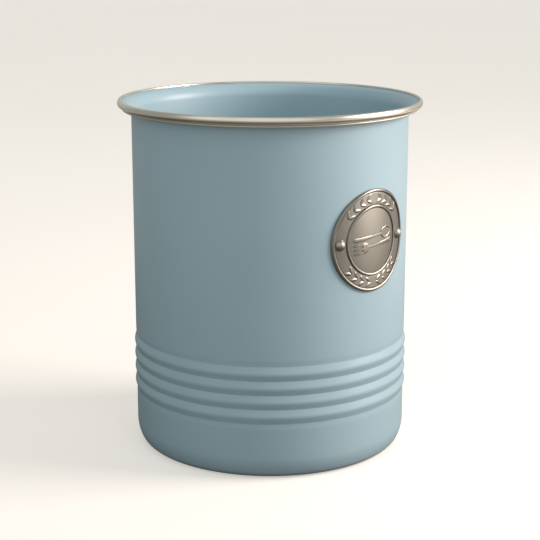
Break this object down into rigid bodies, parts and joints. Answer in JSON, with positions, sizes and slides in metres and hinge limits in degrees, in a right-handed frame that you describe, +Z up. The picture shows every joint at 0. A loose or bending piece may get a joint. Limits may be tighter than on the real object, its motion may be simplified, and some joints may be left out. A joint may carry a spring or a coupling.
{
  "type": "utensil holder",
  "caption": "Round steel utensil pot, open at the top, with a coated wall, rolled ribs near the base, a rolled metal trim ring round the flared mouth and a small riveted badge.",
  "frame": {"origin": "middle of the base, on the surface the pot stands on", "axes": "+Z up along the pot's axis, badge facing -Y, +X to the right of someone who looks at the badge"},
  "size_m": [0.15, 0.15, 0.174],
  "materials": {
    "coated_steel": "satin powder coat, pale grey blue",
    "trim_metal": "polished, slightly warm",
    "badge_metal": "cast, satin pewter, darker in the recesses",
    "rivet_metal": "polished",
    "washer_metal": "plain, as stamped"
  },
  "bodies": {
    "root": {"can_body": "coated_steel", "rim_ring": "trim_metal", "badge_plate": "badge_metal", "badge_rivet_left": "rivet_metal", "badge_rivet_right": "rivet_metal", "rivet_washer_left": "washer_metal", "rivet_washer_right": "washer_metal"}
  },
  "joints": []
}
